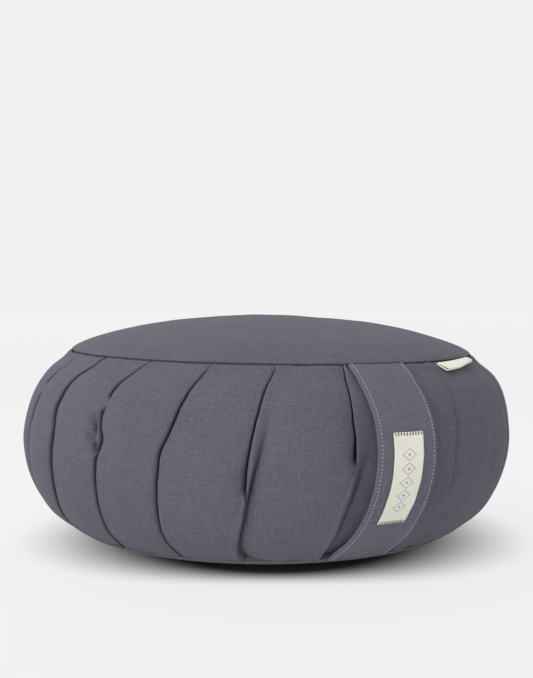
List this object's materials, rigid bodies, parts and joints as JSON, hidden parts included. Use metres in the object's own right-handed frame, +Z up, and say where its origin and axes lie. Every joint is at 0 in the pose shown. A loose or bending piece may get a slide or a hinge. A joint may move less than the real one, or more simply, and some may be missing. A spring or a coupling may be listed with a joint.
{
  "type": "zafu meditation cushion",
  "caption": "Round zafu meditation cushion: a firm filled body with a knife-pleated wall between round crowned panels, and a flat carry strap sewn down the wall.",
  "frame": {"origin": "on the resting surface, at the middle of the flat spot under the cushion", "axes": "+Z up through the middle of the top panel, -Y out through the carry strap, +X to the right of the strap seen from outside"},
  "size_m": [0.3622, 0.3819, 0.1648],
  "materials": {
    "canvas": "matt dark grey cotton canvas",
    "strap": "matt dark grey cotton canvas, topstitched",
    "cream_tape": "cream woven cotton tape"
  },
  "bodies": {
    "root": {"pleated_wall": "canvas", "top_panel": "canvas", "bottom_panel": "canvas", "carry_strap": "strap", "strap_label": "cream_tape", "seam_tab": "cream_tape"}
  },
  "joints": []
}
